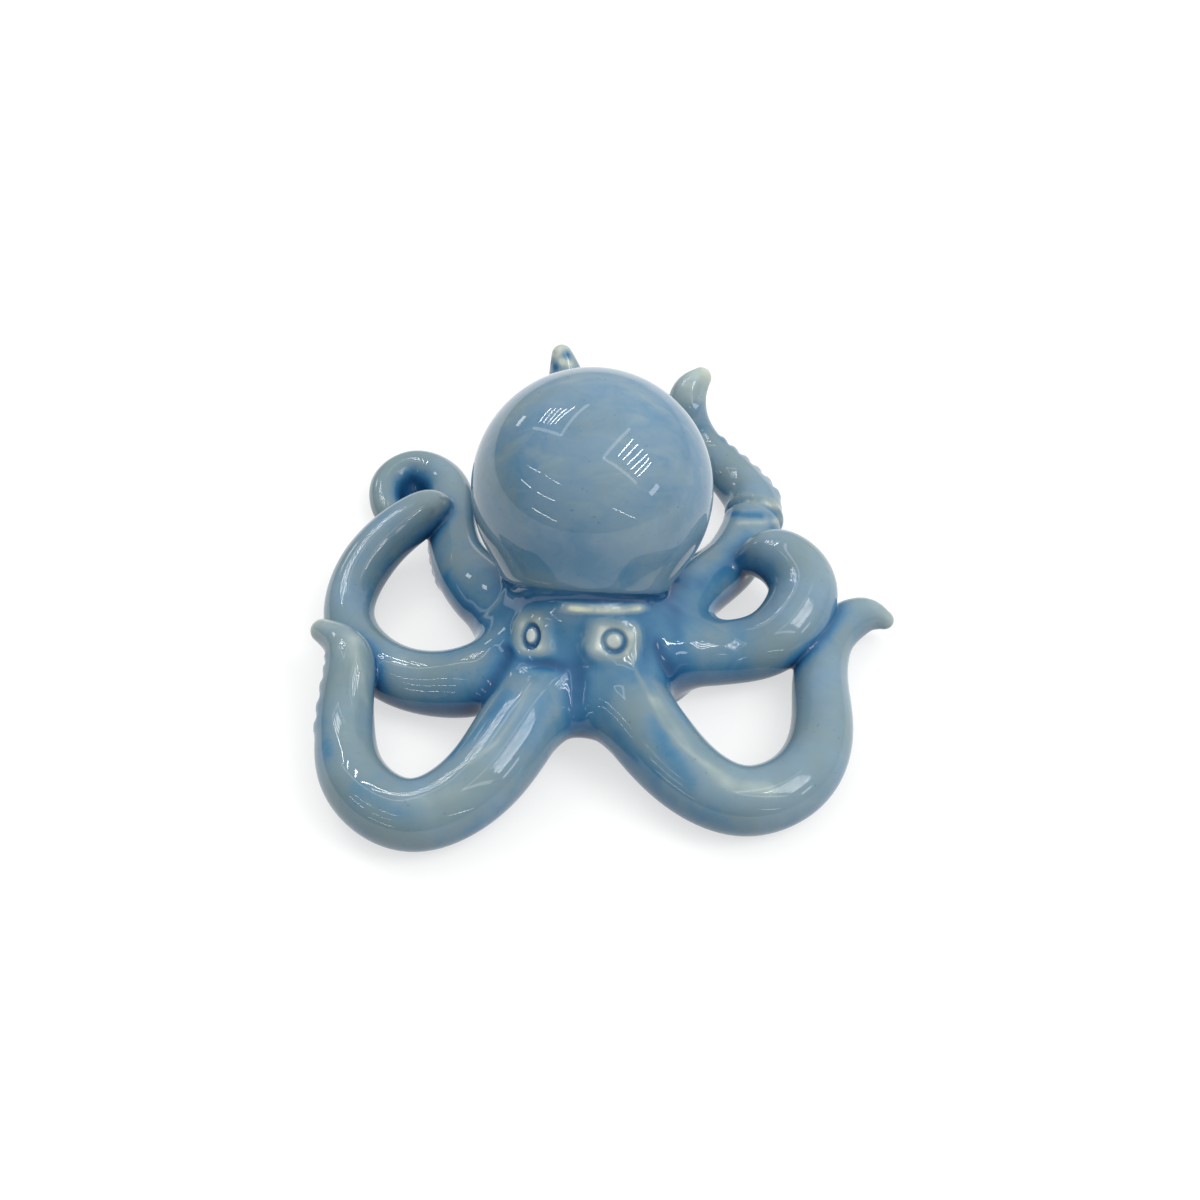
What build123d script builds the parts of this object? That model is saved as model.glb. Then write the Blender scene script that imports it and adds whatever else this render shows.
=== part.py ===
from build123d import *
import os
from math import acos, atan2, cos, degrees, hypot, radians, sin

os.makedirs("parts", exist_ok=True)

# A slip-cast stoneware octopus, in the pieces that are luted together before
# it is glazed: a hollow mantle bulb on a hollow head casting with eight root
# stubs, hollow arm castings butted on the stubs, and sprigged eyes and brow.
# Millimetres, +Z up, the face looks along -Y. Angles are in degrees.

# Mantle bulb
mantle_radius = 39.3
mantle_height = 57.8
mantle_back = 3.0
mantle_side = 1.5
mantle_lean_back = 42.0
mantle_lean_side = 5.0
neck_drop = 32.5
rim_radius = 26.0
rim_round = 1.6
body_wall = 4.2

# Head casting
neck_radius = 23.0
waist_radius = 29.0
waist_height = 17.0
waist_front = 18.5
skirt_radius = 37.0
skirt_front = 15.0
drain_radius = 8.0

# Arm castings
arm_reach = 100.0
arm_rise = 50.0
arm_root_radius = 13.0
arm_wall = 3.8
tip_length = 4.0
foot_flat = 0.8
section_spacing = 5.5

# Sprigs on the face
eye_pad_radius = 7.2
eye_pad_proud = 1.4
left_eye_height = 30.8
left_eye_turn = -43.0
right_eye_height = 33.5
right_eye_turn = 18.0
ring_radius = 3.4
ring_wire = 0.8
pupil_radius = 1.8
pupil_proud = 0.7
brow_radius = 1.9
brow_drop_left = 6.2
brow_drop_right = 4.6
brow_turn_from = -22.0
brow_turn_to = 56.0

# How far a cutting body runs past what it cuts
overrun = 1.0

# How finely the finished surface is measured to find its middle
measuring_step = 0.1

# Shares that set the form of a piece from its own sizes
tip_round_shares = [0.35, 0.65, 0.85, 0.96]
pad_round_share = 0.6
brow_sunk_share = 0.3
brow_steps = 8
brow_place_shares = [0, 0.04, 0.12, 0.3, 0.5, 0.7, 0.88, 0.96, 1]
brow_girth_shares = [0.35, 0.7, 0.95, 1, 1, 1, 0.95, 0.7, 0.35]

# Each arm's route from root to tip: east and north as shares of arm_reach,
# lift off the table as a share of arm_rise, girth as a share of arm_root_radius
front_left_shares = [
    (-0.03, -0.22, 0.06, 0.85),
    (-0.08, -0.36, 0.09, 0.92),
    (-0.17, -0.54, 0.09, 1.00),
    (-0.25, -0.69, 0.05, 1.00),
    (-0.34, -0.82, 0.02, 0.94),
    (-0.52, -0.915, 0.00, 0.85),
    (-0.71, -0.785, 0.00, 0.80),
    (-0.77, -0.57, 0.05, 0.71),
    (-0.77, -0.46, 0.16, 0.65),
    (-0.77, -0.37, 0.26, 0.59),
    (-0.81, -0.30, 0.31, 0.46),
    (-0.875, -0.24, 0.32, 0.32),
]
front_right_shares = [
    (0.03, -0.22, 0.06, 0.85),
    (0.06, -0.36, 0.09, 0.92),
    (0.13, -0.54, 0.09, 1.00),
    (0.22, -0.68, 0.05, 0.97),
    (0.33, -0.80, 0.02, 0.89),
    (0.47, -0.86, 0.00, 0.83),
    (0.62, -0.81, 0.00, 0.81),
    (0.72, -0.67, 0.00, 0.79),
    (0.755, -0.51, 0.00, 0.75),
    (0.765, -0.38, 0.00, 0.71),
    (0.785, -0.27, 0.01, 0.67),
    (0.83, -0.165, 0.04, 0.62),
    (0.90, -0.10, 0.08, 0.55),
    (0.96, -0.08, 0.12, 0.43),
    (1.01, -0.09, 0.14, 0.27),
]
mid_left_shares = [
    (-0.06, -0.24, 0.10, 0.80),
    (-0.21, -0.32, 0.12, 0.88),
    (-0.33, -0.40, 0.08, 0.92),
    (-0.47, -0.40, 0.02, 0.85),
    (-0.62, -0.35, 0.00, 0.78),
    (-0.755, -0.23, 0.00, 0.72),
    (-0.83, -0.04, 0.02, 0.67),
    (-0.79, 0.15, 0.08, 0.71),
    (-0.71, 0.26, 0.16, 0.69),
    (-0.63, 0.33, 0.22, 0.65),
    (-0.58, 0.385, 0.24, 0.55),
    (-0.555, 0.42, 0.24, 0.42),
]
mid_right_shares = [
    (0.06, -0.24, 0.10, 0.80),
    (0.20, -0.30, 0.14, 0.88),
    (0.34, -0.30, 0.10, 0.88),
    (0.47, -0.27, 0.05, 0.83),
    (0.60, -0.24, 0.07, 0.86),
    (0.69, -0.16, 0.12, 0.90),
    (0.73, -0.04, 0.18, 0.90),
    (0.69, 0.05, 0.25, 0.82),
    (0.62, 0.095, 0.29, 0.66),
    (0.575, 0.095, 0.31, 0.46),
]
rear_left_shares = [
    (-0.06, -0.16, 0.08, 0.80),
    (-0.25, -0.13, 0.12, 0.90),
    (-0.38, 0.02, 0.06, 0.90),
    (-0.47, 0.22, 0.01, 0.77),
    (-0.51, 0.41, 0.00, 0.69),
    (-0.53, 0.60, 0.00, 0.63),
    (-0.60, 0.72, 0.00, 0.59),
    (-0.69, 0.755, 0.00, 0.56),
    (-0.765, 0.70, 0.00, 0.52),
    (-0.78, 0.59, 0.00, 0.46),
    (-0.74, 0.50, 0.00, 0.39),
    (-0.67, 0.48, 0.00, 0.31),
]
rear_right_shares = [
    (0.06, -0.16, 0.08, 0.80),
    (0.25, -0.13, 0.12, 0.88),
    (0.38, 0.02, 0.07, 0.85),
    (0.50, 0.18, 0.01, 0.80),
    (0.58, 0.34, 0.00, 0.80),
    (0.615, 0.475, 0.00, 0.80),
    (0.585, 0.59, 0.02, 0.73),
    (0.525, 0.675, 0.08, 0.66),
    (0.455, 0.74, 0.175, 0.60),
    (0.39, 0.80, 0.32, 0.60),
    (0.37, 0.82, 0.48, 0.58),
    (0.38, 0.85, 0.62, 0.50),
    (0.42, 0.89, 0.73, 0.32),
]
back_left_shares = [
    (-0.03, -0.12, 0.02, 0.80),
    (-0.14, 0.08, 0.00, 0.84),
    (-0.21, 0.28, 0.00, 0.81),
    (-0.28, 0.48, 0.00, 0.76),
    (-0.31, 0.67, 0.00, 0.70),
    (-0.25, 0.83, 0.03, 0.66),
    (-0.15, 0.91, 0.15, 0.63),
    (-0.09, 0.94, 0.36, 0.60),
    (-0.09, 0.96, 0.58, 0.52),
    (-0.105, 1.00, 0.78, 0.32),
]
back_right_shares = [
    (0.03, -0.12, 0.02, 0.80),
    (0.14, 0.08, 0.00, 0.84),
    (0.21, 0.28, 0.00, 0.80),
    (0.27, 0.46, 0.00, 0.73),
    (0.25, 0.63, 0.00, 0.65),
    (0.13, 0.73, 0.00, 0.58),
    (0.00, 0.69, 0.00, 0.50),
    (-0.03, 0.57, 0.00, 0.41),
    (0.05, 0.50, 0.00, 0.31),
]

# Each arm: its route, and the shares of its length where the stub on the head
# ends and where the hollow ends
arms = {
    "front_left": (front_left_shares, 0.27, 0.80),
    "front_right": (front_right_shares, 0.25, 0.68),
    "mid_left": (mid_left_shares, 0.22, 0.80),
    "mid_right": (mid_right_shares, 0.35, 0.80),
    "rear_left": (rear_left_shares, 0.24, 0.72),
    "rear_right": (rear_right_shares, 0.24, 0.80),
    "back_left": (back_left_shares, 0.26, 0.80),
    "back_right": (back_right_shares, 0.27, 0.75),
}

# The rear right arm is in two lengths, luted at this share of its route
rear_right_seam_share = 0.545

# Where two arms cross, the one laid on last is cut to sit on the other
sits_on = {
    "front_left": "mid_left",
    "front_right": "mid_right",
    "mid_left": "rear_left",
    "mid_right": "rear_right",
}


# The mantle's own planes: its centre, and the flat rim where it meets the neck
mantle_axis = Vector(
    sin(radians(mantle_lean_side)),
    sin(radians(mantle_lean_back)),
    cos(radians(mantle_lean_back)),
).normalized()
mantle_centre = Vector(mantle_side, mantle_back, mantle_height)
across = (Vector(1, 0, 0) - mantle_axis * mantle_axis.X).normalized()
mantle_section = Plane(origin=mantle_centre, x_dir=across, z_dir=across.cross(mantle_axis))
rim_plane = Plane(origin=mantle_centre - mantle_axis * neck_drop, x_dir=across, z_dir=mantle_axis)
spine = Axis(mantle_centre, mantle_axis)


def flank_angle(ball_radius, mouth_radius):
    """The angle on the ball where a straight flank down to the mouth leaves it."""
    down_to_mouth = atan2(-neck_drop, mouth_radius)
    return degrees(down_to_mouth + acos(ball_radius / hypot(mouth_radius, neck_drop)))


def bulb(ball_radius, mouth_radius):
    """A ball with a straight flank down to a flat mouth on the rim plane."""
    leave = flank_angle(ball_radius, mouth_radius)
    with BuildPart() as body:
        with BuildSketch(mantle_section):
            with BuildLine():
                crown = CenterArc((0, 0), ball_radius, leave, 90 - leave)
                Polyline(crown @ 1, (0, -neck_drop), (mouth_radius, -neck_drop), crown @ 0)
            make_face()
        revolve(axis=spine)
    return body.part


def bell(inset, floor, past_rim):
    """The head from foot through waist to tilted neck, drawn in by a wall for its hollow."""
    with BuildPart() as body:
        with BuildSketch(Plane(origin=(0, -skirt_front, floor))):
            Circle(skirt_radius - inset)
        with BuildSketch(Plane(origin=(0, -waist_front, waist_height), z_dir=Vector(0, 0, 1) + mantle_axis)):
            Circle(waist_radius - inset)
        with BuildSketch(rim_plane.offset(past_rim)):
            Circle(neck_radius - inset)
        loft()
    return body.part


def tube(planes, radii, ruled=True):
    """A round body through a circle on each plane, straight from each to the next if ruled."""
    with BuildPart() as body:
        for plane, radius in zip(planes, radii):
            with BuildSketch(plane):
                Circle(radius)
        loft(ruled=ruled)
    return body.part


class Arm:
    """One arm's centreline and girth, read from its route of shares."""

    def __init__(self, route_shares):
        points = []
        self.girths = []
        for east, north, lift, girth in route_shares:
            radius = girth * arm_root_radius
            points.append(Vector(east * arm_reach, north * arm_reach, lift * arm_rise + radius - foot_flat))
            self.girths.append(radius)
        with BuildLine() as line:
            Spline(*points)
        self.line = line.edges()[0]
        self.places = [self.line.param_at_point(point) for point in points]

    def radius_at(self, place):
        for start, end, first, last in zip(self.places, self.places[1:], self.girths, self.girths[1:]):
            if place <= end:
                return first + (last - first) * (place - start) / (end - start)
        return self.girths[-1]

    def places_between(self, start, end):
        count = max(3, round(self.line.length * (end - start) / section_spacing))
        return [start + (end - start) * step / count for step in range(count + 1)]

    def planes_at(self, places):
        """Planes square to the centreline, each turned as little as can be from the last."""
        planes = []
        side = Vector(0, 0, 1).cross(self.line % places[0])
        for place in places:
            run = (self.line % place).normalized()
            side = (side - run * side.dot(run)).normalized()
            planes.append(Plane(origin=self.line @ place, x_dir=side, z_dir=run))
        return planes

    def skin(self, start, end):
        """The outside of the arm between two places, closed by a round tip at its end."""
        places = self.places_between(start, end)
        planes = self.planes_at(places)
        radii = [self.radius_at(place) for place in places]
        if end == 1:
            last_plane, last_radius = planes[-1], radii[-1]
            planes += [last_plane.offset(tip_length * share) for share in tip_round_shares]
            radii += [last_radius * (1 - share**2) ** 0.5 for share in tip_round_shares]
        return tube(planes, radii)

    def bore(self, start, end):
        """The hollow inside between two places, run past the first of them."""
        places = self.places_between(start, end)
        planes = self.planes_at(places)
        planes[0] = planes[0].offset(-overrun)
        return tube(planes, [self.radius_at(place) - arm_wall for place in places])


routes = {name: Arm(shares) for name, (shares, stub_end, bore_end) in arms.items()}
stub_forms = [routes[name].skin(0, arms[name][1]) for name in arms]
arm_forms = {name: routes[name].skin(arms[name][1], 1) for name in arms}
bulb_form = bulb(mantle_radius, rim_radius)
bell_form = bell(0, 0, 0)
pieces = {}


# Mantle: a hollow bulb with a thick rounded rim that overhangs the face
with BuildPart() as mantle:
    add(bulb_form)
    add(bulb(mantle_radius - body_wall, neck_radius - body_wall), mode=Mode.SUBTRACT)
    mouth_edges = mantle.edges().filter_by(GeomType.CIRCLE).group_by(spine)[0]
    fillet(mouth_edges.sort_by(SortBy.RADIUS)[-1], rim_round)
pieces["mantle"] = mantle

# Head: a bell under the mantle with a stub for each arm
with BuildPart() as head_form:
    add(bell_form)
    add(stub_forms)
    add(bulb_form, mode=Mode.SUBTRACT)

# The head is hollow, open into the mantle and every arm, with a drain hole
# through its floor
with BuildPart() as head:
    add(head_form.part)
    add(bell(body_wall, body_wall, overrun), mode=Mode.SUBTRACT)
    for name, (_, stub_end, _) in arms.items():
        add(routes[name].bore(0, stub_end + overrun / routes[name].line.length), mode=Mode.SUBTRACT)
    with Locations((0, -skirt_front, 0)):
        Cylinder(drain_radius, (body_wall + overrun) * 2, mode=Mode.SUBTRACT)
    split(bisect_by=Plane.XY, keep=Keep.TOP)
pieces["head"] = head

# Arms: hollow castings butted on their stubs, with a flat wiped under each
for name, (shares, stub_end, bore_end) in arms.items():
    with BuildPart() as casting:
        add(arm_forms[name])
        add(routes[name].bore(stub_end, bore_end), mode=Mode.SUBTRACT)
        if name in sits_on:
            add(arm_forms[sits_on[name]], mode=Mode.SUBTRACT)
        split(bisect_by=Plane.XY, keep=Keep.TOP)
    pieces[name + "_arm"] = casting

# The rear right arm, parted square to its length at the seam
seam_plane = routes["rear_right"].planes_at([rear_right_seam_share])[0]
whole_arm = pieces["rear_right_arm"].part
for name, side in (("rear_right_arm", Keep.BOTTOM), ("rear_right_arm_end", Keep.TOP)):
    with BuildPart() as length:
        add(whole_arm)
        split(bisect_by=seam_plane, keep=side)
    pieces[name] = length

# Eyes: a low sprigged pad with a ring pressed into it and a raised pupil
cheek = bell_form.faces().sort_by(SortBy.AREA)[-1]


def on_cheek(start, outward):
    """Where a line from inside the head leaves it, and the way the surface faces there."""
    hits = cheek.find_intersection_points(Axis(start, outward))
    return max(hits, key=lambda hit: (hit[0] - start).dot(outward))


for name, height, turn in (
    ("left_eye", left_eye_height, left_eye_turn),
    ("right_eye", right_eye_height, right_eye_turn),
):
    point, normal = on_cheek(
        Vector(0, -waist_front, height),
        Vector(sin(radians(turn)), -cos(radians(turn)), 0),
    )
    seat = Plane(origin=point, z_dir=normal)
    with BuildPart() as eye:
        with BuildSketch(seat.offset(-eye_pad_proud)):
            Circle(eye_pad_radius)
        extrude(amount=eye_pad_proud * 2)
        fillet(eye.edges().sort_by(Axis(point, normal))[-1], eye_pad_proud * pad_round_share)
        with Locations(seat.offset(eye_pad_proud)):
            Torus(ring_radius, ring_wire, mode=Mode.SUBTRACT)
        with Locations(seat.offset(eye_pad_proud + pupil_proud - pupil_radius)):
            Sphere(pupil_radius)
        add(head_form.part, mode=Mode.SUBTRACT)
    pieces[name] = eye

# Brow: a thin coil of clay pressed on under the rim, over both eyes
brow_points = []
for step in range(brow_steps + 1):
    turn = radians(brow_turn_from + (brow_turn_to - brow_turn_from) * step / brow_steps)
    drop = brow_drop_left + (brow_drop_right - brow_drop_left) * step / brow_steps
    outward = across * sin(turn) - rim_plane.y_dir * cos(turn)
    point, normal = on_cheek(rim_plane.origin - mantle_axis * drop, outward)
    brow_points.append(point + normal * brow_radius * (1 - brow_sunk_share))
with BuildLine() as brow_line:
    Spline(*brow_points)
brow_run = brow_line.edges()[0]
brow_planes = []
for share, girth_share in zip(brow_place_shares, brow_girth_shares):
    brow_planes.append(Plane(origin=brow_run @ share, x_dir=mantle_axis, z_dir=brow_run % share))
with BuildPart() as brow:
    add(tube(brow_planes, [brow_radius * share for share in brow_girth_shares], ruled=False))
    add(head_form.part, mode=Mode.SUBTRACT)
    add(pieces["left_eye"].part, mode=Mode.SUBTRACT)
    add(pieces["right_eye"].part, mode=Mode.SUBTRACT)
pieces["brow"] = brow

# The origin goes to the middle of the whole piece, on the table. The middle is
# taken from points on the surfaces, which lie closer to them than a box does.
surface_points = [point for piece in pieces.values() for point in piece.part.tessellate(measuring_step)[0]]
east = [point.X for point in surface_points]
north = [point.Y for point in surface_points]
to_origin = Location((-(min(east) + max(east)) / 2, -(min(north) + max(north)) / 2, 0))
for name, piece in pieces.items():
    with BuildPart() as placed:
        add(piece.part.moved(to_origin))
    placed.part.label = name
    export_step(placed.part, f"parts/{name}.step")
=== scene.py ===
import math

import bmesh
import bpy
import numpy as np
from mathutils import Matrix, Vector


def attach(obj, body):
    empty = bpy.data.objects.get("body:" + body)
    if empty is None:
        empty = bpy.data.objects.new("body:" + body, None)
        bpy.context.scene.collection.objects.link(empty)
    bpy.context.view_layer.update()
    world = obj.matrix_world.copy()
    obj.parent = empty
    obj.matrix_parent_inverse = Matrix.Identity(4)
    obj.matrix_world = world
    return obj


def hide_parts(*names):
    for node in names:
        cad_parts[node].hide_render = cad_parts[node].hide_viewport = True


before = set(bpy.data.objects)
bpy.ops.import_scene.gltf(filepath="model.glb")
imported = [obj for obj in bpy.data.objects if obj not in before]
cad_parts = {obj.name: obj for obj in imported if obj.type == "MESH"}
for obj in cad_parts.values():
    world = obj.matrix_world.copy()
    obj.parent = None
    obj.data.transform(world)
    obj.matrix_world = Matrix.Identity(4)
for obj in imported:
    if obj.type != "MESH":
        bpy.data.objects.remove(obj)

# Sizes are in millimetres in the maker's own drawing frame, where the head
# stands near x = 0. The table middle moves them into the frame of the castings.
MM = 0.001
table_middle = np.array([-6.489, -0.925, 0.0])
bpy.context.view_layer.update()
fine_cell = 0.6
cell = fine_cell

# The same routes as the castings have: east and north as shares of the reach,
# lift as a share of the rise, girth as a share of the root radius
arm_reach = 100.0
arm_rise = 50.0
arm_root_radius = 13.0
foot_flat = 0.8
tip_length = 4.0
routes = {
    "front_left": [
        (-0.03, -0.22, 0.06, 0.85), (-0.08, -0.36, 0.09, 0.92), (-0.17, -0.54, 0.09, 1.00),
        (-0.25, -0.69, 0.05, 1.00), (-0.34, -0.82, 0.02, 0.94), (-0.52, -0.915, 0.00, 0.85),
        (-0.71, -0.785, 0.00, 0.80), (-0.77, -0.57, 0.05, 0.71), (-0.77, -0.46, 0.16, 0.65),
        (-0.77, -0.37, 0.26, 0.59), (-0.81, -0.30, 0.31, 0.46), (-0.875, -0.24, 0.32, 0.32),
    ],
    "front_right": [
        (0.03, -0.22, 0.06, 0.85), (0.06, -0.36, 0.09, 0.92), (0.13, -0.54, 0.09, 1.00),
        (0.22, -0.68, 0.05, 0.97), (0.33, -0.80, 0.02, 0.89), (0.47, -0.86, 0.00, 0.83),
        (0.62, -0.81, 0.00, 0.81), (0.72, -0.67, 0.00, 0.79), (0.755, -0.51, 0.00, 0.75),
        (0.765, -0.38, 0.00, 0.71), (0.785, -0.27, 0.01, 0.67), (0.83, -0.165, 0.04, 0.62),
        (0.90, -0.10, 0.08, 0.55), (0.96, -0.08, 0.12, 0.43), (1.01, -0.09, 0.14, 0.27),
    ],
    "mid_left": [
        (-0.06, -0.24, 0.10, 0.80), (-0.21, -0.32, 0.12, 0.88), (-0.33, -0.40, 0.08, 0.92),
        (-0.47, -0.40, 0.02, 0.85), (-0.62, -0.35, 0.00, 0.78), (-0.755, -0.23, 0.00, 0.72),
        (-0.83, -0.04, 0.02, 0.67), (-0.79, 0.15, 0.08, 0.71), (-0.71, 0.26, 0.16, 0.69),
        (-0.63, 0.33, 0.22, 0.65), (-0.58, 0.385, 0.24, 0.55), (-0.555, 0.42, 0.24, 0.42),
    ],
    "mid_right": [
        (0.06, -0.24, 0.10, 0.80), (0.20, -0.30, 0.14, 0.88), (0.34, -0.30, 0.10, 0.88),
        (0.47, -0.27, 0.05, 0.83), (0.60, -0.24, 0.07, 0.86), (0.69, -0.16, 0.12, 0.90),
        (0.73, -0.04, 0.18, 0.90), (0.69, 0.05, 0.25, 0.82), (0.62, 0.095, 0.29, 0.66),
        (0.575, 0.095, 0.31, 0.46),
    ],
    "rear_left": [
        (-0.06, -0.16, 0.08, 0.80), (-0.25, -0.13, 0.12, 0.90), (-0.38, 0.02, 0.06, 0.90),
        (-0.47, 0.22, 0.01, 0.77), (-0.51, 0.41, 0.00, 0.69), (-0.53, 0.60, 0.00, 0.63),
        (-0.60, 0.72, 0.00, 0.59), (-0.69, 0.755, 0.00, 0.56), (-0.765, 0.70, 0.00, 0.52),
        (-0.78, 0.59, 0.00, 0.46), (-0.74, 0.50, 0.00, 0.39), (-0.67, 0.48, 0.00, 0.31),
    ],
    "rear_right": [
        (0.06, -0.16, 0.08, 0.80), (0.25, -0.13, 0.12, 0.88), (0.38, 0.02, 0.07, 0.85),
        (0.50, 0.18, 0.01, 0.80), (0.58, 0.34, 0.00, 0.80), (0.615, 0.475, 0.00, 0.80),
        (0.585, 0.59, 0.02, 0.73), (0.525, 0.675, 0.08, 0.66), (0.455, 0.74, 0.175, 0.60),
        (0.39, 0.80, 0.32, 0.60), (0.37, 0.82, 0.48, 0.58), (0.38, 0.85, 0.62, 0.50),
        (0.42, 0.89, 0.73, 0.32),
    ],
    "back_left": [
        (-0.03, -0.12, 0.02, 0.80), (-0.14, 0.08, 0.00, 0.84), (-0.21, 0.28, 0.00, 0.81),
        (-0.28, 0.48, 0.00, 0.76), (-0.31, 0.67, 0.00, 0.70), (-0.25, 0.83, 0.03, 0.66),
        (-0.15, 0.91, 0.15, 0.63), (-0.09, 0.94, 0.36, 0.60), (-0.09, 0.96, 0.58, 0.52),
        (-0.105, 1.00, 0.78, 0.32),
    ],
    "back_right": [
        (0.03, -0.12, 0.02, 0.80), (0.14, 0.08, 0.00, 0.84), (0.21, 0.28, 0.00, 0.80),
        (0.27, 0.46, 0.00, 0.73), (0.25, 0.63, 0.00, 0.65), (0.13, 0.73, 0.00, 0.58),
        (0.00, 0.69, 0.00, 0.50), (-0.03, 0.57, 0.00, 0.41), (0.05, 0.50, 0.00, 0.31),
    ],
}

# Where each arm's stub on the head ends, as a share of the arm's length
stub_ends = {
    "front_left": 0.27, "front_right": 0.25, "mid_left": 0.22, "mid_right": 0.35,
    "rear_left": 0.24, "rear_right": 0.24, "back_left": 0.26, "back_right": 0.27,
}
rear_right_seam = 0.545

# Mantle and head
head_middle = (0.0, -15.0)
mantle_radius = 39.3
neck_drop = 32.5
rim_radius = 26.0
mantle_centre = np.array([1.5, 3.0, 57.8])
lean_back, lean_aside = math.radians(42), math.radians(5)
lean = np.array([math.sin(lean_aside), math.sin(lean_back), math.cos(lean_back)])
lean /= np.linalg.norm(lean)
rim_centre = mantle_centre - lean * neck_drop
up = np.array([0.0, 0.0, 1.0])
waist_facing = (up + lean) / np.linalg.norm(up + lean)

# Names of the finished pieces, in the order of their numbers in the owner field
owners = [
    "mantle", "head", "front_left_arm", "front_right_arm", "mid_left_arm", "mid_right_arm",
    "rear_left_arm", "rear_right_arm", "back_left_arm", "back_right_arm", "rear_right_arm_end",
    "left_eye", "right_eye", "brow",
]
MANTLE, HEAD = owners.index("mantle"), owners.index("head")


# Soft clay tools: how two forms are run into each other, and cut from each other

def melt(a, b, width):
    """Two forms joined, with the crease between them filled over a width."""
    near = np.maximum(width - np.abs(a - b), 0.0)
    return np.minimum(a, b) - near * near / (4.0 * width)


def cut(a, b, width):
    """What two forms have in common, with the edge between them eased over a width."""
    return -melt(-a, -b, width)


def curve_through(points, count):
    """Evenly placed samples of a natural cubic curve through the points."""
    points = np.asarray(points, float)
    spans = np.linalg.norm(np.diff(points[:, :3], axis=0), axis=1)
    knots = np.concatenate([[0], np.cumsum(spans)])
    n = len(points)
    rows = np.zeros((n, n))
    sides = np.zeros((n, points.shape[1]))
    rows[0, 0] = rows[-1, -1] = 1
    for i in range(1, n - 1):
        rows[i, i - 1:i + 2] = spans[i - 1], 2 * (spans[i - 1] + spans[i]), spans[i]
        after, before = points[i + 1] - points[i], points[i] - points[i - 1]
        sides[i] = 6 * (after / spans[i] - before / spans[i - 1])
    bend = np.linalg.solve(rows, sides)
    at = np.linspace(0, knots[-1], count * 8)
    i = np.clip(np.searchsorted(knots, at, side="right") - 1, 0, n - 2)
    h = spans[i][:, None]
    a = (knots[i + 1] - at)[:, None] / h
    b = (at - knots[i])[:, None] / h
    fine = a * points[i] + b * points[i + 1]
    fine = fine + ((a**3 - a) * bend[i] + (b**3 - b) * bend[i + 1]) * h * h / 6
    run = np.concatenate([[0], np.cumsum(np.linalg.norm(np.diff(fine[:, :3], axis=0), axis=1))])
    even = np.linspace(0, run[-1], count)
    return np.stack([np.interp(even, run, fine[:, k]) for k in range(fine.shape[1])], axis=1)


# The block of clay: a field of distances on a grid, cell by cell
block_low = np.array([-97.0, -107.0, -3.0])
block_high = np.array([110.0, 109.0, 102.0])
shape = tuple(int(n) for n in np.ceil((block_high - block_low) / cell) + 1)
axes = [(block_low[k] + cell * np.arange(shape[k])).astype(np.float32) for k in range(3)]
FAR = 50.0
clay = np.full(shape, FAR, np.float32)
nearest = np.full(shape, FAR, np.float32)
owner = np.zeros(shape, np.int8)


def window(low, high, within=None):
    """The part of the block between two corners, and inside another window if one is given."""
    start = [max(0, int((low[k] - block_low[k]) / cell)) for k in range(3)]
    stop = [min(shape[k], int((high[k] - block_low[k]) / cell) + 2) for k in range(3)]
    if within:
        start = [max(a, w.start) for a, w in zip(start, within)]
        stop = [min(b, w.stop) for b, w in zip(stop, within)]
    return tuple(slice(a, b) for a, b in zip(start, stop))


def places(part):
    """The x, y and z of a window's cells, each broadcast over the others."""
    x = axes[0][part[0]][:, None, None]
    y = axes[1][part[1]][None, :, None]
    z = axes[2][part[2]][None, None, :]
    return x, y, z


def run_of(place, start, way):
    """How far each place lies from a start, along a way."""
    return sum((place[k] - start[k]) * way[k] for k in range(3))


def off_axis(place, at, way):
    """How far each place lies along an axis, and how far out from it."""
    dx, dy, dz = [place[k] - at[k] for k in range(3)]
    along = dx * way[0] + dy * way[1] + dz * way[2]
    return along, np.sqrt(np.maximum(dx * dx + dy * dy + dz * dz - along * along, 0))


def claim(part, distance, number):
    """Cells nearer to this form than to any before it belong to its piece."""
    mine = distance < nearest[part]
    nearest[part][mine] = distance[mine]
    owner[part][mine] = number


def add_form(part, distance, width, number=None):
    """A form of clay melted into the block, and its cells claimed for a piece if one is named."""
    clay[part] = melt(clay[part], distance, width)
    if number is not None:
        claim(part, distance, number)


def rod(part, a, b, radius_a, radius_b):
    """Distance to a tapering round rod between two points."""
    place = places(part)
    along = b - a
    t = np.clip(run_of(place, a, along) / float(along @ along), 0, 1)
    dx, dy, dz = [place[k] - a[k] - t * along[k] for k in range(3)]
    return np.sqrt(dx * dx + dy * dy + dz * dz) - (radius_a + (radius_b - radius_a) * t)


def roll(points, radii, reach, cuts=(), numbers=()):
    """The window and distances of a roll of clay, its pieces claimed by share of its length."""
    radii = np.asarray(radii)
    low = (points - radii[:, None]).min(0) - reach
    high = (points + radii[:, None]).max(0) + reach
    whole = window(low, high)
    distance = np.full([s.stop - s.start for s in whole], FAR, np.float32)
    last = len(points) - 1
    for i in range(last):
        a, b, ra, rb = points[i], points[i + 1], radii[i], radii[i + 1]
        margin = max(ra, rb) + reach
        part = window(np.minimum(a, b) - margin, np.maximum(a, b) + margin, whole)
        d = rod(part, a, b, ra, rb).astype(np.float32)
        inner = tuple(slice(p.start - w.start, p.stop - w.start) for p, w in zip(part, whole))
        distance[inner] = np.minimum(distance[inner], d)
        if numbers:
            claim(part, d, numbers[sum((i + 0.5) / last > c for c in cuts)])
    return whole, distance


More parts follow.
